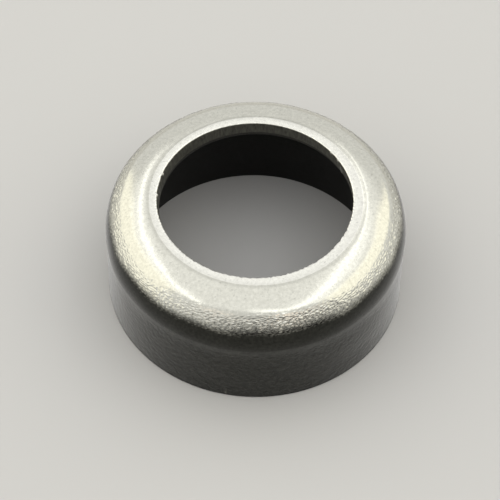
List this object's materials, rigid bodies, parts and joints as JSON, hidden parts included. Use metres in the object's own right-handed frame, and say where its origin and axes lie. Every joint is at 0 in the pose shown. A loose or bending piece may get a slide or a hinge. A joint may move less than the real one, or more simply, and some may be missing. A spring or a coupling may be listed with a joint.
{
  "type": "thrust washer",
  "caption": "Deep drawn steel thrust washer: a cupped ring with a flat face round the shaft hole, a full rounded shoulder and a straight skirt that ends in a trimmed rim.",
  "frame": {"origin": "centre of the rim plane, on the axis of the shaft hole", "axes": "+Z along the axis, from the open rim towards the thrust face and out through the hole; X and Y are any two square directions, because the washer is round"},
  "size_m": [0.025, 0.025, 0.0106],
  "materials": {
    "drawn_steel": "bare low-carbon steel, satin, with a fine orange-peel grain on the drawn shoulder and faint vertical draw marks on the skirt"
  },
  "bodies": {
    "root": {"thrust_washer": "drawn_steel"}
  },
  "joints": []
}
